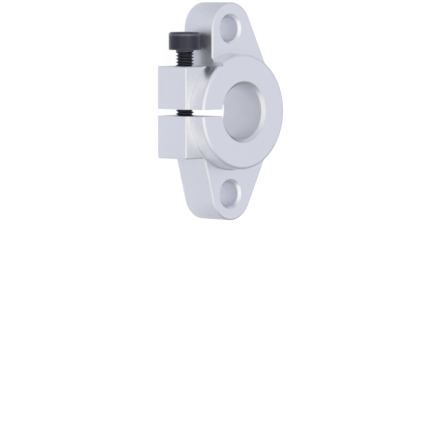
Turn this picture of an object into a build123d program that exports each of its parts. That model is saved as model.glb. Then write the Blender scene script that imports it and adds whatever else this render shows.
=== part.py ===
from build123d import *
from math import asin, cos, degrees, radians, sin, tan
import os

# Flange-mounted shaft support with a split, clamped hub, and its clamp screw.
#
# The block is one piece of aluminium. A rhombic mounting flange carries a turned hub in front
# and a clamping lug at one side. A bore for the shaft runs through hub and flange, and one
# narrow slit runs from the bore out through the lug. The screw crosses the slit: it passes
# freely through the upper half of the lug and threads into the lower half.
#
# Frame: the origin is on the bore's axis at the mounting face, +Z runs out through the hub,
# +Y runs along the flange towards the screw's head, and the lug points to -X.
# All sizes are millimetres.

# Shaft and hub
shaft_d = 12.0
hub_wall = 6.5
hub_edge_r = 0.7
hub_root_r = 0.4
bore_chamfer = 0.7
block_height = 13.0

# Flange
flange_thickness = 8.8
flange_rim = 1.5            # how far the flange's widest part stands out past the hub
bolt_spacing = 36.0
bolt_hole_d = 5.5
bolt_hole_chamfer = 0.55
tip_reach = 5.75            # from a bolt hole's centre to the end of the flange
outline_shift = 0.4         # the outline lies this far to +X of the bored centre
lower_flank_angle = 15.7    # between the lug-side lower flank and the Y axis, in degrees
front_edge_r = 0.4
back_edge_break = 0.2

# Lug and slit
lug_height = 20.0
lug_corner_r = 0.5
inner_corner_r = 0.35
slit_width = 1.5
seat_cut_reach = 3.35       # from the screw's axis to where the cut of its seat ends in the hub's side

# Clamp screw: a socket head cap screw with a metric 4 mm thread, drawn plain over its crests
thread_d = 3.9
screw_length = 20.0         # under the head
head_d = 7.0
head_height = 3.9
head_edge_r = 0.6
head_foot_break = 0.15
neck_r = 0.2
tip_chamfer = 0.45
hex_across_flats = 3.0
hex_depth = 2.0
hex_mouth_break = 0.15
hex_point_angle = 118.0     # of the drilled point below the hexagon

# Fits of the screw
screw_backout = 3.5         # height of the head above its seat, as the screw stands
bore_to_screw_wall = 1.3    # least metal between the bore and the screw's hole
shank_clearance = 0.3       # radial, in the upper half of the lug
thread_clearance = 0.05     # radial, over the crests in the lower half of the lug
thread_depth = 0.4          # radial, from the thread's crests down to its drilled core
tap_lead = 0.4              # from the last full thread to the lug's lower face
head_side_gap = 0.5         # between the head and the flange's wall beside it
screw_hole_chamfer = 0.3

# Worked out from the sizes above
bore_r = shaft_d / 2
hub_r = bore_r + hub_wall
belly_r = hub_r + flange_rim
lug_half = lug_height / 2
slit_half = slit_width / 2
thread_r = thread_d / 2
head_r = head_d / 2
shank_hole_r = thread_r + shank_clearance
thread_hole_r = thread_r + thread_clearance
core_hole_r = thread_hole_r - thread_depth
screw_x = -(bore_r + bore_to_screw_wall + shank_hole_r)
screw_z = flange_thickness / 2
pocket_x = screw_x + head_r + head_side_gap
lug_end_x = outline_shift - belly_r
tip_r = outline_shift - pocket_x
tip_y = bolt_spacing / 2 + tip_reach - tip_r
past = 1.0                  # how far a cutter runs past the faces it cuts
hole_run_out = 2 * past     # the same for the screw's hole, which leaves beside a slanting wall
on_top = (Align.CENTER, Align.CENTER, Align.MIN)
below = (Align.CENTER, Align.CENTER, Align.MAX)


def polar(centre, radius, angle):
    """Point on a circle, at an angle in degrees."""
    return (centre[0] + radius * cos(radians(angle)), centre[1] + radius * sin(radians(angle)))


def arc(centre, radius, start, end):
    """Arc about a centre from one angle to another, in degrees."""
    middle = (start + end) / 2
    return ThreePointArc(
        polar(centre, radius, start), polar(centre, radius, middle), polar(centre, radius, end))


def body_outline():
    """Outline of the flange and lug seen from the front, and the lug's lower inner corner.

    The two tip arcs and the belly arc share their tangents on the plain side. On the lug's side
    the upper flank is parallel to the screw, to leave room for its head, and the lower one slants.
    """
    middle = (outline_shift, 0)
    upper = (outline_shift, tip_y)
    lower = (outline_shift, -tip_y)
    flank = degrees(asin((belly_r - tip_r) / tip_y))
    low_turn = 180 + lower_flank_angle
    low_touch = polar(lower, tip_r, low_turn)
    low_run = -lug_half - low_touch[1]
    low_corner = (low_touch[0] - low_run * tan(radians(lower_flank_angle)), -lug_half)
    edges = [
        arc(upper, tip_r, flank, 180),
        Line((pocket_x, tip_y), (pocket_x, lug_half)),
        Line((pocket_x, lug_half), (lug_end_x, lug_half)),
        Line((lug_end_x, lug_half), (lug_end_x, -lug_half)),
        Line((lug_end_x, -lug_half), low_corner),
        Line(low_corner, low_touch),
        arc(lower, tip_r, low_turn, 360 - flank),
        Line(polar(lower, tip_r, -flank), polar(middle, belly_r, -flank)),
        arc(middle, belly_r, -flank, flank),
        Line(polar(middle, belly_r, flank), polar(upper, tip_r, flank)),
    ]
    return make_face(edges), low_corner


def upright_edges(body, *corners):
    """Edges parallel to Z that stand on the given corners of the outline."""
    near = 0.01
    return [
        edge for edge in body.edges().filter_by(Axis.Z)
        if any(abs(edge.center().X - x) < near and abs(edge.center().Y - y) < near for x, y in corners)]


def flange_and_lug():
    """Flange and lug as one plate, with its corners and front edges rounded and its back edges broken."""
    outline, low_corner = body_outline()
    plate = extrude(outline, flange_thickness)
    plate = fillet(upright_edges(plate, (lug_end_x, lug_half), (lug_end_x, -lug_half)), lug_corner_r)
    plate = fillet(upright_edges(plate, (pocket_x, lug_half), low_corner), inner_corner_r)
    front = plate.faces().sort_by(Axis.Z)[-1]
    broken = fillet(front.edges(), front_edge_r)
    broken = chamfer(broken.faces().sort_by(Axis.Z)[0].edges(), back_edge_break)
    # The flange's edge stays sharp where the hub and its root stand over it.
    under_hub = Cylinder(hub_r + hub_root_r, front_edge_r, align=below)
    return broken + (plate & Pos(0, 0, flange_thickness) * under_hub)


def hub():
    """Turned hub in front of the flange. The cut of the screw's seat has taken a nick off its side."""
    height = block_height - flange_thickness
    nose = Cylinder(hub_r, height, align=on_top)
    nose = fillet(nose.edges().sort_by(Axis.Z)[-1], hub_edge_r)
    nick = Pos(screw_x + seat_cut_reach, lug_half, 0) * Box(
        hub_r, hub_r, height + past, align=(Align.MAX, Align.MIN, Align.MIN))
    return Pos(0, 0, flange_thickness) * (nose - nick)


def hub_root(plate):
    """Concave fillet round the hub's foot. It ends where the flange's front face ends."""
    low = (hub_r - past, flange_thickness)
    high = (hub_r - past, flange_thickness + hub_root_r)
    centre = (hub_r + hub_root_r, flange_thickness + hub_root_r)
    section = make_face([
        Line(low, polar(centre, hub_root_r, 270)),
        arc(centre, hub_root_r, 270, 180),
        Line(polar(centre, hub_root_r, 180), high),
        Line(high, low),
    ])
    ring = revolve(Plane.XZ * section, Axis.Z)
    return ring & extrude(plate.faces().sort_by(Axis.Z)[-1], hub_root_r)


def hole_along_z(radius, height, low_break, high_break):
    """Cutter for a hole from Z = 0 up to a height, opened by a chamfer at each end."""
    section = Polyline(
        (0, -past),
        (radius + low_break + past, -past),
        (radius, low_break),
        (radius, height - high_break),
        (radius + high_break + past, height + past),
        (0, height + past),
        close=True)
    return revolve(Plane.XZ * make_face(section), Axis.Z)


def on_screw_axis(y):
    """Place at a height on the screw's axis, with its own Z towards the screw's head."""
    return Pos(screw_x, y, screw_z) * Rot(X=-90)


def screw_hole():
    """Cutter for the stepped hole: free in the upper half of the lug, threaded in the lower half.

    The thread fades out at the lug's lower face, where only its drilled core comes through. So it
    leaves the slanting flank beside it whole.
    """
    section = Polyline(
        (0, -lug_half - hole_run_out),
        (core_hole_r, -lug_half - hole_run_out),
        (core_hole_r, -lug_half),
        (thread_hole_r, -lug_half + tap_lead),
        (thread_hole_r, -slit_half - screw_hole_chamfer),
        (thread_hole_r + screw_hole_chamfer, -slit_half),
        (shank_hole_r, slit_half),
        (shank_hole_r, lug_half - screw_hole_chamfer),
        (shank_hole_r + screw_hole_chamfer + past, lug_half + past),
        (0, lug_half + past),
        close=True)
    return on_screw_axis(0) * revolve(Plane.XZ * make_face(section), Axis.Z)


def support_block():
    """The whole block: plate, hub and root, with every hole and the slit cut."""
    plate = flange_and_lug()
    body = plate + hub() + hub_root(plate)
    body -= hole_along_z(bore_r, block_height, bore_chamfer, bore_chamfer)
    for side in (1, -1):
        body -= Pos(0, side * bolt_spacing / 2, 0) * hole_along_z(
            bolt_hole_d / 2, flange_thickness, back_edge_break, bolt_hole_chamfer)
    body -= Pos(0, 0, -past) * Box(
        past - lug_end_x, slit_width, block_height + 2 * past, align=(Align.MAX, Align.CENTER, Align.MIN))
    return body - screw_hole()


def clamp_screw():
    """Screw, drawn with the underside of its head on the origin, and set where it stands."""
    head = Cylinder(head_r, head_height, align=on_top)
    head = fillet(head.edges().sort_by(Axis.Z)[-1], head_edge_r)
    head = chamfer(head.edges().sort_by(Axis.Z)[0], head_foot_break)
    shank = Cylinder(thread_r, screw_length, align=below)
    shank = chamfer(shank.edges().sort_by(Axis.Z)[0], tip_chamfer)
    screw = head + shank
    neck = screw.edges().filter_by(GeomType.CIRCLE).filter_by_position(Axis.Z, -neck_r, neck_r)
    screw = fillet(neck.sort_by(SortBy.RADIUS)[0], neck_r)

    flat_r = hex_across_flats / 2
    corner_r = flat_r / cos(radians(30))
    point_depth = flat_r / tan(radians(hex_point_angle / 2))
    floor = Pos(0, 0, head_height - hex_depth)
    screw -= floor * extrude(RegularPolygon(corner_r, 6), hex_depth + past)
    screw -= floor * Cone(0, flat_r, point_depth, align=below)
    mouth_r = corner_r + hex_mouth_break
    screw -= Pos(0, 0, head_height) * Cone(0, mouth_r, mouth_r, align=below)
    return on_screw_axis(lug_half + screw_backout) * screw


os.makedirs("parts", exist_ok=True)
export_step(support_block(), "parts/support_block.step")
export_step(clamp_screw(), "parts/clamp_screw.step")
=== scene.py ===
"""Looks of a flange-mounted shaft support and its clamp screw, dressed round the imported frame.

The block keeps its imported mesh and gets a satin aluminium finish. The plain screw of the frame is
replaced by one with a cut thread. The bore's axis is +Z, the mounting face is Z = 0, and the
screw's head points to +Y. Sizes in the classes are millimetres and degrees, apart from names that
end in _m, which are metres.
"""
from __future__ import annotations

import logging
import math
from dataclasses import dataclass, field
from enum import Enum

import bpy
from mathutils import Matrix, Vector

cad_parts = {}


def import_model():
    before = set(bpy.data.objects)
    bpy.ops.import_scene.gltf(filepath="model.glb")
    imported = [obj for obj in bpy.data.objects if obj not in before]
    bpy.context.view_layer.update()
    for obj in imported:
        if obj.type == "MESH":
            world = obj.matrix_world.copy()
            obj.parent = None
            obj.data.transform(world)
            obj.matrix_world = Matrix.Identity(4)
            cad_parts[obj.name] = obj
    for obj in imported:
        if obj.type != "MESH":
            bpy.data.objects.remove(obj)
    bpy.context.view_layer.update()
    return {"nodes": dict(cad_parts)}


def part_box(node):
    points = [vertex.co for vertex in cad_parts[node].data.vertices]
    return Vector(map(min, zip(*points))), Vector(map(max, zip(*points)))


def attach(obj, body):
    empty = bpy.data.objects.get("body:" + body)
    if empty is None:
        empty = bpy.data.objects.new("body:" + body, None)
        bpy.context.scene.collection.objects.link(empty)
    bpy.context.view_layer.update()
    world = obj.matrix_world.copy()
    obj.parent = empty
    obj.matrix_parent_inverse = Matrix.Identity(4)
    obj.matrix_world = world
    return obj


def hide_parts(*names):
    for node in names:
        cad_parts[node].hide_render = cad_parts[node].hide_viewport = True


MM = 0.001

log = logging.getLogger("shaft_support")

Socket = bpy.types.NodeSocket
Point = tuple[float, float]
Range = tuple[float, float]
Colour = tuple[float, float, float]
Place = tuple[float, float, float]
Direction = tuple[float, float, float]

# Where nearly all values of a noise texture lie, and their middle.
NOISE_RANGE: Range = (0.3, 0.7)
NOISE_MIDDLE = 0.5


class Body(Enum):
    """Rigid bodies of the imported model."""

    BLOCK = "block"
    SCREW = "screw"


class Node(Enum):
    """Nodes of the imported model."""

    BLOCK = "support_block"
    SCREW = "clamp_screw"


class Slot(Enum):
    """Material slots of the model."""

    ALUMINIUM = "block_aluminium"
    STEEL = "screw_steel"


class Graph:
    """Small helper that adds nodes to a node tree and links them."""

    def __init__(self, tree: bpy.types.NodeTree) -> None:
        """Empty a node tree and keep it.

        Args:
            tree: The tree of a material or of the world.
        """
        self.tree = tree
        tree.nodes.clear()

    def add(self, kind: str, **values: object) -> bpy.types.Node:
        """Add a node and set its inputs or properties.

        Args:
            kind: The node's type name.
            **values: Properties by name, inputs by name with underscores for spaces, or inputs by
                an underscore and their number. A socket is linked, and anything else is set.

        Returns:
            The new node.
        """
        node = self.tree.nodes.new(kind)
        for key, value in values.items():
            if hasattr(node, key):
                setattr(node, key, value)
                continue
            socket = node.inputs[int(key[1:])] if key[1:].isdigit() else node.inputs[key.replace("_", " ")]
            self.feed(socket, value)
        return node

    def feed(self, socket: Socket, value: object) -> None:
        """Link a socket to another one, or set its value.

        Args:
            socket: The input.
            value: An output socket, a number or a colour.
        """
        if isinstance(value, Socket):
            self.tree.links.new(value, socket)
        else:
            socket.default_value = value

    def math(self, operation: str, *values: object) -> Socket:
        """Add a maths node and return its result.

        Args:
            operation: Name of the operation.
            *values: The operands, as numbers or sockets.

        Returns:
            The result's socket.
        """
        node = self.add("ShaderNodeMath", operation=operation)
        for socket, value in zip(node.inputs, values):
            self.feed(socket, value)
        return node.outputs[0]

    def chain(self, operation: str, *values: object) -> Socket:
        """Join two or more values by one operation, from the first to the last.

        Args:
            operation: Name of the operation.
            *values: The operands, as numbers or sockets.

        Returns:
            The result's socket.
        """
        result, *others = values
        for value in others:
            result = self.math(operation, result, value)
        return result

    def product(self, *values: object) -> Socket:
        """Multiply two or more numbers or sockets."""
        return self.chain("MULTIPLY", *values)

    def total(self, *values: object) -> Socket:
        """Add up two or more numbers or sockets."""
        return self.chain("ADD", *values)

    def distance(self, across: Socket, along: Socket) -> Socket:
        """Distance from an axis, from its two parts."""
        return self.math("SQRT", self.total(self.product(across, across), self.product(along, along)))

    def scale(self, vector: object, factor: object) -> Socket:
        """Multiply a vector or a colour by a number."""
        return self.add("ShaderNodeVectorMath", operation="SCALE", _0=vector, Scale=factor).outputs[0]

    def remap(self, value: Socket, source: Range, target: Range, smooth: bool = False) -> Socket:
        """Map a value from one range to another, and hold it at the ends.

        Args:
            value: The value.
            source: Lowest and highest value that comes in.
            target: What those two become.
            smooth: Whether the map eases in and out.

        Returns:
            The result's socket.
        """
        return self.add(
            "ShaderNodeMapRange", interpolation_type="SMOOTHSTEP" if smooth else "LINEAR", Value=value,
            From_Min=source[0], From_Max=source[1], To_Min=target[0], To_Max=target[1]).outputs[0]

    def blend(self, share: Socket, first: object, second: object) -> Socket:
        """Mix two colours.

        Args:
            share: 0 for the first colour and 1 for the second.
            first: A colour, or its socket.
            second: A colour, or its socket.

        Returns:
            The mixed colour's socket.
        """
        ends = [value if isinstance(value, Socket) else (*value, 1.0) for value in (first, second)]
        return self.add("ShaderNodeMix", data_type="RGBA", _0=share, _6=ends[0], _7=ends[1]).outputs[2]


@dataclass(frozen=True)
class Noise:
    """Settings of a noise texture."""

    per_mm: float
    detail: float
    roughness: float = 0.5

    def add(self, graph: Graph, place: Socket) -> Socket:
        """Add the texture at a place in millimetres, and return its value."""
        return graph.add(
            "ShaderNodeTexNoise", Vector=place, Scale=self.per_mm, Detail=self.detail,
            Roughness=self.roughness).outputs[0]


def new_material(name: str) -> tuple[bpy.types.Material, Graph]:
    """Make an empty material.

    Args:
        name: The material's name.

    Returns:
        The material and the helper for its nodes.
    """
    material = bpy.data.materials.new(name)
    material.use_nodes = True
    return material, Graph(material.node_tree)


@dataclass(frozen=True)
class Zones:
    """Distance from the bore's axis, and shares from 0 to 1 of worked surfaces and painted edge shade."""

    radius: Socket
    milled: Socket
    inside_bore: Socket
    shaded_edges: Socket
    hub_edge: Socket


@dataclass(frozen=True)
class SatinAluminium:
    """Machined aluminium with a satin finish: bright, slightly cool, with a grain and faint tool marks.

    The front and the hub are turned and finer. The sides of the flange and lug are milled along
    the outline and rougher, with faint streaks. The bore's wall is a little darker, and painted
    shade darkens the rounded edges, the hub's edge less so.
    """

    name: str = "satin_aluminium"
    colour: Colour = (0.91, 0.92, 0.945)
    roughness: float = 0.38
    roughness_spread: float = 0.04
    sides_roughness: float = 0.48
    patches: Noise = Noise(0.35, 2.0)
    grain: Noise = Noise(9.0, 3.0, 0.6)
    grain_height: float = 0.0008
    turning_pitch: float = 0.18
    turning_height: float = 0.0004
    streaks: Noise = Noise(2.2, 4.0, 0.55)
    streak_stretch: float = 0.05
    streak_height: float = 0.0012
    streak_tone: float = 0.03
    # Colour kept on the bore's wall, and painted shade on the rounded edges, less on the hub's edge.
    bore_wall_tone: float = 0.93
    edge_shade_tone: float = 0.87
    hub_edge_shade_tone: float = 0.94
    wall_limit: float = 0.5
    sides_top: float = 8.7
    bore_reach: float = 7.0
    bolt_hole_y: float = 18.0
    bolt_hole_reach: float = 3.6
    hub_edge_inner: float = 11.0
    hub_edge_outer: float = 12.55

    def zones(self, graph: Graph, in_mm: Socket, facing: Socket) -> Zones:
        """Tell the worked surfaces apart, and find the edges that get painted shade.

        Args:
            graph: The material's nodes.
            in_mm: The place on the block.
            facing: How far the surface faces along Z, from -1 to 1.

        Returns:
            The zones.
        """
        x, y, z = graph.add("ShaderNodeSeparateXYZ", Vector=in_mm).outputs
        radius = graph.distance(x, y)
        from_bolt = graph.distance(x, graph.math("SUBTRACT", graph.math("ABSOLUTE", y), self.bolt_hole_y))
        upright = graph.math("LESS_THAN", graph.math("ABSOLUTE", facing), self.wall_limit)
        off_bolts = graph.math("GREATER_THAN", from_bolt, self.bolt_hole_reach)
        # Painted shade on the rounded edges: strongest where an edge is turned halfway, and nothing on
        # the faces that it joins.
        squared = graph.product(facing, facing)
        halfway = graph.product(squared, 4.0, graph.math("SUBTRACT", 1.0, squared))
        shaded_edges = graph.product(halfway, off_bolts)
        return Zones(
            radius=radius,
            milled=graph.product(
                upright, graph.math("LESS_THAN", z, self.sides_top),
                graph.math("GREATER_THAN", radius, self.bore_reach), off_bolts),
            inside_bore=graph.product(upright, graph.math("LESS_THAN", radius, self.bore_reach)),
            shaded_edges=shaded_edges,
            hub_edge=graph.product(
                shaded_edges, graph.math("GREATER_THAN", radius, self.hub_edge_inner),
                graph.math("LESS_THAN", radius, self.hub_edge_outer)))

    def gloss(self, graph: Graph, in_mm: Socket, zones: Zones) -> Socket:
        """Roughness, uneven in soft patches and higher on the milled sides.

        Args:
            graph: The material's nodes.
            in_mm: The place on the block.
            zones: The worked surfaces.

        Returns:
            The roughness.
        """
        spread = graph.remap(
            self.patches.add(graph, in_mm), NOISE_RANGE, (-self.roughness_spread, self.roughness_spread))
        coarser = graph.product(zones.milled, self.sides_roughness - self.roughness)
        return graph.total(spread, self.roughness, coarser)

    def relief(self, graph: Graph, in_mm: Socket, zones: Zones, streaks: Socket) -> Socket:
        """Normal of the fine relief: a grain all over, turning marks, and streaks on the milled sides.

        Args:
            graph: The material's nodes.
            in_mm: The place on the block.
            zones: The worked surfaces.
            streaks: The streaks' noise.

        Returns:
            The normal.
        """
        marks = graph.math("SINE", graph.product(zones.radius, 2 * math.pi / self.turning_pitch))
        turned = graph.product(marks, self.turning_height, graph.math("SUBTRACT", 1.0, zones.milled))
        streaked = graph.product(streaks, self.streak_height, zones.milled)
        grain = graph.product(self.grain.add(graph, in_mm), self.grain_height)
        height = graph.total(turned, streaked, grain)
        return graph.add("ShaderNodeBump", Strength=1.0, Distance=MM, Height=height).outputs[0]

    def brightness(self, graph: Graph, zones: Zones, streaks: Socket) -> Socket:
        """Share of the colour that each place keeps, with painted shade on the rounded edges.

        Args:
            graph: The material's nodes.
            zones: The worked surfaces.
            streaks: The streaks' noise.

        Returns:
            The share, 1 where nothing darkens or lightens it.
        """
        # Darker on the bore's wall, and painted shade on the rounded edges, less on the hub's edge.
        changes = [
            graph.product(share, change) for share, change in (
                (zones.inside_bore, self.bore_wall_tone - 1.0),
                (zones.shaded_edges, self.edge_shade_tone - 1.0),
                (zones.hub_edge, self.hub_edge_shade_tone - self.edge_shade_tone))]
        uneven = graph.product(
            graph.math("SUBTRACT", streaks, NOISE_MIDDLE), 2 * self.streak_tone, zones.milled)
        return graph.math("ADD", 1.0, graph.total(uneven, *changes))

    def build(self) -> bpy.types.Material:
        """Make the material.

        Returns:
            The finished material.
        """
        material, graph = new_material(self.name)
        coordinates = graph.add("ShaderNodeTexCoord").outputs
        in_mm = graph.scale(coordinates["Object"], 1 / MM)
        facing = graph.add("ShaderNodeSeparateXYZ", Vector=coordinates["Normal"]).outputs[2]
        zones = self.zones(graph, in_mm, facing)
        stretched = graph.add(
            "ShaderNodeVectorMath", operation="MULTIPLY", _0=in_mm,
            _1=(self.streak_stretch, self.streak_stretch, 1.0)).outputs[0]
        streaks = self.streaks.add(graph, stretched)
        shader = graph.add(
            "ShaderNodeBsdfPrincipled", Metallic=1.0,
            Base_Color=graph.scale(self.colour, self.brightness(graph, zones, streaks)),
            Roughness=self.gloss(graph, in_mm, zones),
            Normal=self.relief(graph, in_mm, zones, streaks))
        graph.add("ShaderNodeOutputMaterial", Surface=shader.outputs[0])
        return material


@dataclass(frozen=True)
class BlackOxideSteel:
    """Oiled black oxide on steel: nearly black, half glossy, uneven, and greyer along edges by abrasion and
    painted highlight.
    """

    name: str = "black_oxide_steel"
    colour: Colour = (0.024, 0.024, 0.043)
    # Greyer colour along abraded edges, also a painted highlight on the head's top edge.
    worn_and_lit_colour: Colour = (0.19, 0.19, 0.23)
    metallic: float = 0.9
    oil_film: float = 0.7
    oil_roughness: float = 0.28
    roughness: float = 0.3
    roughness_spread: float = 0.06
    grain: Noise = Noise(6.0, 3.0, 0.6)
    grain_height: float = 0.0015
    # Stored amount and uneven patches of the abrasion and painted highlight.
    worn_and_lit_attribute: str = "wear_and_highlight"
    worn_and_lit_patches: Noise = Noise(1.6, 4.0, 0.65)
    worn_and_lit_patch_range: Range = (0.35, 0.65)
    worn_and_lit_share: Range = (0.6, 1.15)

    def build(self) -> bpy.types.Material:
        """Make the material.

        Returns:
            The finished material.
        """
        material, graph = new_material(self.name)
        in_mm = graph.scale(graph.add("ShaderNodeTexCoord").outputs["Object"], 1 / MM)
        grain = self.grain.add(graph, in_mm)
        roughness = graph.remap(
            grain, NOISE_RANGE,
            (self.roughness - self.roughness_spread, self.roughness + self.roughness_spread))
        bump = graph.add(
            "ShaderNodeBump", Strength=1.0, Distance=MM, Height=graph.product(grain, self.grain_height))
        # Abrasion along the head's edges and crests, also a painted highlight on the head's top edge.
        lit_and_worn_mask = graph.add("ShaderNodeAttribute", attribute_name=self.worn_and_lit_attribute).outputs["Fac"]
        uneven = graph.remap(self.worn_and_lit_patches.add(graph, in_mm), self.worn_and_lit_patch_range, self.worn_and_lit_share)
        colour = graph.blend(graph.product(lit_and_worn_mask, uneven), self.colour, self.worn_and_lit_colour)
        shader = graph.add(
            "ShaderNodeBsdfPrincipled", Base_Color=colour, Metallic=self.metallic,
            Roughness=roughness, Normal=bump.outputs[0], Coat_Weight=self.oil_film,
            Coat_Roughness=self.oil_roughness)
        graph.add("ShaderNodeOutputMaterial", Surface=shader.outputs[0])
        return material


@dataclass
class SupportBlock:
    """The flange, hub and lug in one piece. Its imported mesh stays."""

    finish: SatinAluminium = SatinAluminium()

    def dress(self, block: bpy.types.Object) -> None:
        """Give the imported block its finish.

        Args:
            block: The block's object in the frame.
        """
        material = self.finish.build()
        for slot in block.material_slots:
            slot.material = material


@dataclass
class ClampScrew:
    """Socket head cap screw with a cut right-hand thread, in the place of the frame's plain one."""

    head_height: float = 3.9
    head_edge_r: float = 0.6
    head_foot_break: float = 0.15
    neck_r: float = 0.2
    crest_r: float = 1.95
    root_r: float = 1.53
    pitch: float = 0.7
    crest_share: float = 1 / 16
    foot_share: float = 0.38
    foot_cut: float = 0.94
    root_share: float = 0.45
    plain_length: float = 0.3
    run_out: float = 0.35
    tip_chamfer: float = 0.45
    hex_across_flats: float = 3.0
    hex_depth: float = 2.0
    hex_mouth_break: float = 0.15
    hex_point_angle: float = 118.0
    thread_phase: float = 0.13
    # Bands of abrasion and painted highlight along the head's top and lower edge, and on crests.
    worn_and_lit_width: float = 0.22
    worn_and_lit_top: float = 1.0
    worn_and_lit_foot: float = 0.45
    worn_and_lit_crests: float = 0.25
    worn_and_lit_edge_margin: float = 0.01
    worn_and_lit_crest_margin: float = 0.02
    columns: int = 96
    arc_steps: int = 6
    sharp_angle: float = 32.0
    thread_end_margin: float = 1e-4
    merge_steps_per_mm: float = 1e5
    finish: BlackOxideSteel = BlackOxideSteel()
    centre: Vector = field(init=False)
    head_r: float = field(init=False)
    tip_y: float = field(init=False)
    top_y: float = field(init=False)
    seat_y: float = field(init=False)

    def __post_init__(self) -> None:
        """Take the screw's place and reach from the frame."""
        low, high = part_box(Node.SCREW.value)
        self.centre = (low + high) / 2 / MM
        self.head_r = (high.x - low.x) / 2 / MM
        self.tip_y = low.y / MM
        self.top_y = high.y / MM
        self.seat_y = self.top_y - self.head_height

    def thread_profile(self) -> list[Point]:
        """Points of one turn of the thread, from the middle of one crest to the next.

        Returns:
            Shares of the pitch, each with the share of the thread's depth cut away there.
        """
        crest, foot, root = self.crest_share, self.foot_share, self.root_share
        flank = (crest + foot) / 2
        return [
            (0.0, 0.0), (crest, 0.0), (flank, 0.5), (foot, self.foot_cut), (root, 1.0),
            (1 - root, 1.0), (1 - foot, self.foot_cut), (1 - flank, 0.5), (1 - crest, 0.0)]

    def thread_radius(self, y: float, cut: float) -> float:
        """Radius of the thread at a height.

        Args:
            y: The height in the frame.
            cut: Share of the thread's depth cut away there.

        Returns:
            The radius, with the run-out under the head and the chamfer at the tip.
        """
        run_out_end = self.seat_y - self.plain_length
        fade = min(1.0, max(0.0, (run_out_end - y) / self.run_out))
        radius = self.crest_r - (self.crest_r - self.root_r) * cut * fade
        return min(radius, self.crest_r - self.tip_chamfer + (y - self.tip_y))

    def hex_reach(self, angle: float) -> float:
        """Distance from the axis to the socket's wall.

        Args:
            angle: The direction about the axis, in radians.

        Returns:
            The distance.
        """
        sixth = math.radians(60)
        off_flat = (angle % sixth) - sixth / 2
        return self.hex_across_flats / 2 / math.cos(off_flat)

    def column(self, angle: float) -> tuple[list[Point], list[int]]:
        """Outline of the screw in one half plane through its axis.

        Every column has the same number of points. The thread's rows begin up to two turns before
        the tip and end at least one turn past the thread. Those outside it stand on the point
        where it begins or ends.

        Args:
            angle: The half plane's direction about the axis, in radians.

        Returns:
            The outline's radii and heights from the tip to the socket's point, and for each of
            the thread's points the number of the outline's point that it stands on.
        """
        turns_before = 2
        turns_after = 1
        start_y = self.tip_y
        end_y = self.seat_y - self.plain_length
        turns = math.ceil((end_y - start_y) / self.pitch) + turns_before + turns_after
        lead = self.pitch * (angle / (2 * math.pi) + self.thread_phase - turns_before)
        points: list[Point] = [(0.0, self.tip_y), (self.crest_r - self.tip_chamfer, start_y)]
        stands_on: list[int] = []
        first = len(points) - 1
        rows = [
            (start_y + lead + self.pitch * (turn + share), cut)
            for turn in range(turns) for share, cut in self.thread_profile()]
        lowest = start_y + self.thread_end_margin
        highest = end_y - self.thread_end_margin
        last = first + 1 + len(rows)
        for number, (y, cut) in enumerate(rows):
            inside = lowest < y < highest
            height = min(max(y, start_y), end_y)
            points.append((self.thread_radius(height, cut if inside else 0.0), height))
            if inside:
                stands_on.append(first + 1 + number)
            else:
                stands_on.append(first if y <= lowest else last)
        points += self.head_outline(angle, end_y)
        return points, stands_on

    def quarter(self) -> list[Point]:
        """1 minus the cosine and 1 minus the sine, in steps along a quarter of a circle."""
        turns = [math.radians(90 * k / self.arc_steps) for k in range(self.arc_steps + 1)]
        return [(1 - math.cos(turn), 1 - math.sin(turn)) for turn in turns]

    def head_outline(self, angle: float, end_y: float) -> list[Point]:
        """Outline of the plain shank, the head and the socket in one half plane.

        Args:
            angle: The half plane's direction about the axis, in radians.
            end_y: The height at which the thread ends.

        Returns:
            Radii and heights, ending at the socket's point.
        """
        neck = [(self.crest_r + self.neck_r * a, self.seat_y - self.neck_r * b) for a, b in self.quarter()]
        edge = [
            (self.head_r - self.head_edge_r * a, self.top_y - self.head_edge_r * b)
            for a, b in self.quarter()]
        reach = self.hex_reach(angle)
        flat_r = self.hex_across_flats / 2
        corner_r = flat_r / math.cos(math.radians(30))
        mouth_r = corner_r + self.hex_mouth_break
        floor_y = self.top_y - self.hex_depth
        point_depth = flat_r / math.tan(math.radians(self.hex_point_angle / 2))
        side_low = self.seat_y + self.head_foot_break
        side_high = self.top_y - self.head_edge_r
        side = [
            (self.head_r, y) for y in (
                side_low, side_low + self.worn_and_lit_width, side_low + 2 * self.worn_and_lit_width,
                side_high - 2 * self.worn_and_lit_width, side_high - self.worn_and_lit_width)]
        return [
            (self.crest_r, end_y), *neck,
            (self.head_r - self.head_foot_break, self.seat_y), *side, *edge,
            (mouth_r, self.top_y), (reach, self.top_y - (mouth_r - reach)),
            (reach, floor_y), (flat_r, floor_y), (0.0, floor_y - point_depth)]

    def mesh(self) -> bpy.types.Mesh:
        """Make the screw's closed mesh.

        The columns are joined side by side. Where they close the ring, the thread has climbed by
        one pitch, so its points meet those one turn further on.

        Returns:
            The mesh, in metres.
        """
        turn_rows = len(self.thread_profile())
        angles = [2 * math.pi * k / self.columns for k in range(self.columns)]
        columns = [self.column(angle) for angle in angles]
        # Two points of the tip come before the thread.
        first_row = 2
        end_row = first_row + len(columns[0][1])
        row_count = len(columns[0][0])
        vertices: list[Vector] = []
        numbers: dict[tuple[int, ...], int] = {}

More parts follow.
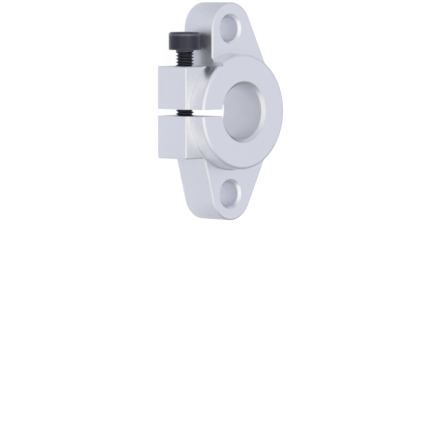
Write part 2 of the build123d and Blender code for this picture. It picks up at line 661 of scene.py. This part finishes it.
        def vertex(row: int, column: int) -> int:
            """Find the vertex at a row of a column, or make it when it is first asked for.

            Args:
                row: Number of the outline's point.
                column: Number of the column. The one past the last is the first again.

            Returns:
                The vertex's number.
            """
            if column == self.columns:
                column = 0
                if first_row <= row < end_row:
                    row = min(row + turn_rows, end_row)
            points, stands_on = columns[column]
            if first_row <= row < end_row:
                row = stands_on[row - first_row]
            radius, y = points[row]
            angle = angles[column]
            place = Vector((
                self.centre.x + radius * math.sin(angle), y, self.centre.z + radius * math.cos(angle)))
            key = tuple(round(value * self.merge_steps_per_mm) for value in place)
            if key not in numbers:
                numbers[key] = len(vertices)
                vertices.append(place * MM)
            return numbers[key]

        faces = []
        for column in range(self.columns):
            for row in range(row_count - 1):
                ring = [
                    vertex(row, column), vertex(row + 1, column),
                    vertex(row + 1, column + 1), vertex(row, column + 1)]
                face = list(dict.fromkeys(ring))
                if len(face) > 2:
                    faces.append(face)
        mesh = bpy.data.meshes.new("clamp_screw_threaded")
        mesh.from_pydata([tuple(v) for v in vertices], [], faces)
        mesh.validate()
        mesh.update()
        mesh.shade_smooth()
        mesh.set_sharp_from_angle(angle=math.radians(self.sharp_angle))
        self.mark_worn_and_lit(mesh)
        return mesh

    def mark_worn_and_lit(self, mesh: bpy.types.Mesh) -> None:
        """Store each point's abrasion and painted highlight: along the head's upper and lower edge, and on
        crests.

        Args:
            mesh: The screw's mesh.
        """
        wear_and_highlight = mesh.attributes.new(self.finish.worn_and_lit_attribute, "FLOAT", "POINT")
        upper_y = self.top_y - self.head_edge_r
        for number, vertex in enumerate(mesh.vertices):
            place = vertex.co / MM
            radius = math.hypot(place.x - self.centre.x, place.z - self.centre.z)
            lit_and_worn_amount = 0.0
            # Greyest at the head's top edge, where the abrasion is also a painted highlight.
            if radius > self.head_r - self.head_edge_r - self.worn_and_lit_edge_margin:
                off_upper = (place.y - upper_y) / self.worn_and_lit_width
                off_lower = (place.y - self.seat_y) / self.worn_and_lit_width
                lit_and_worn_amount = max(
                    self.worn_and_lit_top * math.exp(-off_upper**2), self.worn_and_lit_foot * math.exp(-off_lower**2))
            elif place.y < self.seat_y and radius > self.crest_r - self.worn_and_lit_crest_margin:
                lit_and_worn_amount = self.worn_and_lit_crests
            wear_and_highlight.data[number].value = lit_and_worn_amount

    def build(self) -> bpy.types.Object:
        """Make the screw, dress it and put it in the place of the frame's one.

        Returns:
            The screw's object.
        """
        screw = bpy.data.objects.new("clamp_screw_threaded", self.mesh())
        bpy.context.scene.collection.objects.link(screw)
        screw.data.materials.append(self.finish.build())
        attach(screw, Body.SCREW.value)
        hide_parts(Node.SCREW.value)
        return screw


@dataclass(frozen=True)
class Lamp:
    """One square soft lamp, aimed at the object."""

    name: str
    direction: Direction
    distance_m: float
    side_m: float
    brightness: float
    colour: Colour

    def build(self, aim: Vector) -> None:
        """Place the lamp.

        Args:
            aim: The point that it shines on, in metres.
        """
        light = bpy.data.lights.new(self.name, "AREA")
        light.shape = "SQUARE"
        light.size = self.side_m
        light.color = self.colour
        light.energy = self.brightness * math.pi * self.side_m**2
        lamp = bpy.data.objects.new(self.name, light)
        away = Vector(self.direction).normalized()
        lamp.location = aim + away * self.distance_m
        lamp.rotation_euler = (-away).to_track_quat("-Z", "Y").to_euler()
        bpy.context.scene.collection.objects.link(lamp)


@dataclass(frozen=True)
class LightPatch:
    """Soft round patch in the light from all round, whole within one angle and gone at another."""

    colour: Colour
    towards: Direction
    full_angle: float
    end_angle: float


@dataclass(frozen=True)
class Studio:
    """Pale floor, light from all round with brighter and dimmer patches, and a soft lamp.

    The metal mirrors a floor that is dimmer and bluer than the white one that the camera sees,
    with a lighter pool near the lug.
    """

    floor_side_m: float = 4.0
    floor_colour: Colour = (0.80, 0.81, 0.85)
    floor_seen: Colour = (1.1, 1.1, 1.1)
    floor_seen_share: float = 0.86
    floor_mirrored: Colour = (0.715, 0.725, 0.81)
    floor_mirrored_share: float = 0.85
    pool_middle: Place = (-14.0, 0.0, 0.0)
    pool_full: float = 24.0
    pool_end: float = 34.0
    pool_outside_share: float = 0.79
    sky_colour: Colour = (0.702, 0.709, 0.792)
    bright: LightPatch = LightPatch((1.02, 1.005, 0.96), (-0.56, -0.12, 0.82), 34.0, 60.0)
    panel: LightPatch = LightPatch((1.25, 1.23, 1.20), (-0.30, 0.0, 0.95), 5.0, 20.0)
    shade: LightPatch = LightPatch((0.34, 0.35, 0.40), (0.45, -0.87, 0.15), 15.0, 55.0)
    dusk_colour: Colour = (0.24, 0.25, 0.29)
    dusk_top: float = 0.38
    dusk_towards: Direction = (1.0, 0.0, 0.0)
    dusk_start: float = 0.74
    dusk_full: float = 0.97
    lamp: Lamp = Lamp("key_lamp", (-0.38, 0.0, 0.92), 0.6, 0.3, 0.04, (1.0, 0.98, 0.94))
    lamp_aim_m: Place = (0.0, 0.0, 0.006)

    def build(self) -> None:
        """Make the floor, the world and the lamp."""
        self.floor()
        self.world()
        self.lamp.build(Vector(self.lamp_aim_m))

    def floor(self) -> None:
        """Make the floor under the mounting face: bright to the camera, dimmer when mirrored, else matt."""
        half = self.floor_side_m / 2
        rim = [(-half, -half, 0), (half, -half, 0), (half, half, 0), (-half, half, 0)]
        mesh = bpy.data.meshes.new("floor")
        mesh.from_pydata(rim, [], [tuple(range(len(rim)))])
        floor = bpy.data.objects.new("floor", mesh)
        bpy.context.scene.collection.objects.link(floor)
        material, graph = new_material("pale_floor")
        rays = graph.add("ShaderNodeLightPath").outputs
        seen = rays["Is Camera Ray"]
        mirrored = graph.math("MAXIMUM", rays["Is Glossy Ray"], rays["Is Transmission Ray"])
        share = graph.math(
            "MAXIMUM", graph.product(seen, self.floor_seen_share),
            graph.product(mirrored, self.floor_mirrored_share))
        # Painted pool of light on the floor near the lug, seen only by mirrored rays.
        place = graph.add("ShaderNodeTexCoord").outputs["Object"]
        middle = tuple(value * MM for value in self.pool_middle)
        away = graph.add("ShaderNodeVectorMath", operation="DISTANCE", _0=place, _1=middle).outputs[1]
        pool = graph.remap(
            away, (self.pool_full * MM, self.pool_end * MM), (1.0, self.pool_outside_share), smooth=True)
        light = graph.blend(seen, graph.scale(self.floor_mirrored, pool), self.floor_seen)
        matt = graph.add("ShaderNodeBsdfDiffuse", Color=(*self.floor_colour, 1.0))
        glow = graph.add("ShaderNodeEmission", Color=light, Strength=1.0)
        mix = graph.add("ShaderNodeMixShader", Fac=share, _1=matt.outputs[0], _2=glow.outputs[0])
        graph.add("ShaderNodeOutputMaterial", Surface=mix.outputs[0])
        mesh.materials.append(material)

    def world(self) -> None:
        """Make the light from all round: the patches over an even sky, and dusk low down on one side."""
        world = bpy.data.worlds.new("studio")
        bpy.context.scene.world = world
        world.use_nodes = True
        graph = Graph(world.node_tree)
        towards = graph.add("ShaderNodeTexCoord").outputs["Generated"]

        def along(direction: Direction) -> Socket:
            """Cosine of the angle between the ray and a direction."""
            unit = tuple(Vector(direction).normalized())
            return graph.add(
                "ShaderNodeVectorMath", operation="DOT_PRODUCT", _0=towards, _1=unit).outputs[1]

        colour: object = self.sky_colour
        for patch in (self.bright, self.panel, self.shade):
            reach = (math.cos(math.radians(patch.end_angle)), math.cos(math.radians(patch.full_angle)))
            share = graph.remap(along(patch.towards), reach, (0.0, 1.0), smooth=True)
            colour = graph.blend(share, colour, patch.colour)
        height = graph.math("ABSOLUTE", graph.add("ShaderNodeSeparateXYZ", Vector=towards).outputs[2])
        dusk = graph.product(
            graph.remap(height, (0.0, self.dusk_top), (1.0, 0.0), smooth=True),
            graph.remap(
                along(self.dusk_towards), (self.dusk_start, self.dusk_full), (0.0, 1.0), smooth=True))
        light = graph.add(
            "ShaderNodeBackground", Color=graph.blend(dusk, colour, self.dusk_colour), Strength=1.0)
        graph.add("ShaderNodeOutputWorld", Surface=light.outputs[0])


@dataclass(frozen=True)
class PhotoCamera:
    """Camera at the photograph's viewing angle. The shaft's axis points to its lower right."""

    yaw: float = 44.638
    pitch: float = 4.029
    roll: float = -0.03
    distance: float = 727.1
    aim_height: float = 6.5
    right_offset: float = 0.668
    up_offset: float = 23.736
    focal_px: float = 3329.8
    image_px: float = 440.0
    sensor: float = 36.0
    clip_start_m: float = 0.01
    clip_end_m: float = 20.0

    def build(self) -> bpy.types.Object:
        """Make the scene's camera.

        Returns:
            The camera.
        """
        yaw = math.radians(self.yaw)
        pitch = math.radians(self.pitch)
        back = Vector((-math.sin(yaw) * math.cos(pitch), math.sin(pitch), math.cos(yaw) * math.cos(pitch)))
        level_right = Vector((math.cos(yaw), 0.0, math.sin(yaw)))
        level_up = back.cross(level_right)
        roll = Matrix.Rotation(math.radians(self.roll), 3, back)
        right = roll @ level_right
        up = roll @ level_up
        aim = Vector((0.0, 0.0, self.aim_height))
        place = aim - right * self.right_offset - up * self.up_offset + back * self.distance
        data = bpy.data.cameras.new("photo_camera")
        data.sensor_width = self.sensor
        data.lens = self.sensor * self.focal_px / self.image_px
        data.clip_start = self.clip_start_m
        data.clip_end = self.clip_end_m
        camera = bpy.data.objects.new("photo_camera", data)
        axes = Matrix((right, up, back)).transposed().to_4x4()
        camera.matrix_world = Matrix.Translation(place * MM) @ axes
        bpy.context.scene.collection.objects.link(camera)
        bpy.context.scene.camera = camera
        return camera


def main() -> None:
    """Load the frame, dress the part, and set the stage for it."""
    logging.basicConfig(level=logging.INFO, format="%(message)s")
    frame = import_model()

    SupportBlock().dress(frame["nodes"][Node.BLOCK.value])
    log.info("dressed %s", Node.BLOCK.value)
    screw = ClampScrew().build()
    log.info("built %s with %d faces", screw.name, len(screw.data.polygons))

    Studio().build()
    camera = PhotoCamera().build()
    log.info("set the stage and placed %s", camera.name)
    bpy.context.scene.view_settings.view_transform = "Standard"


if __name__ == "__main__":
    main()
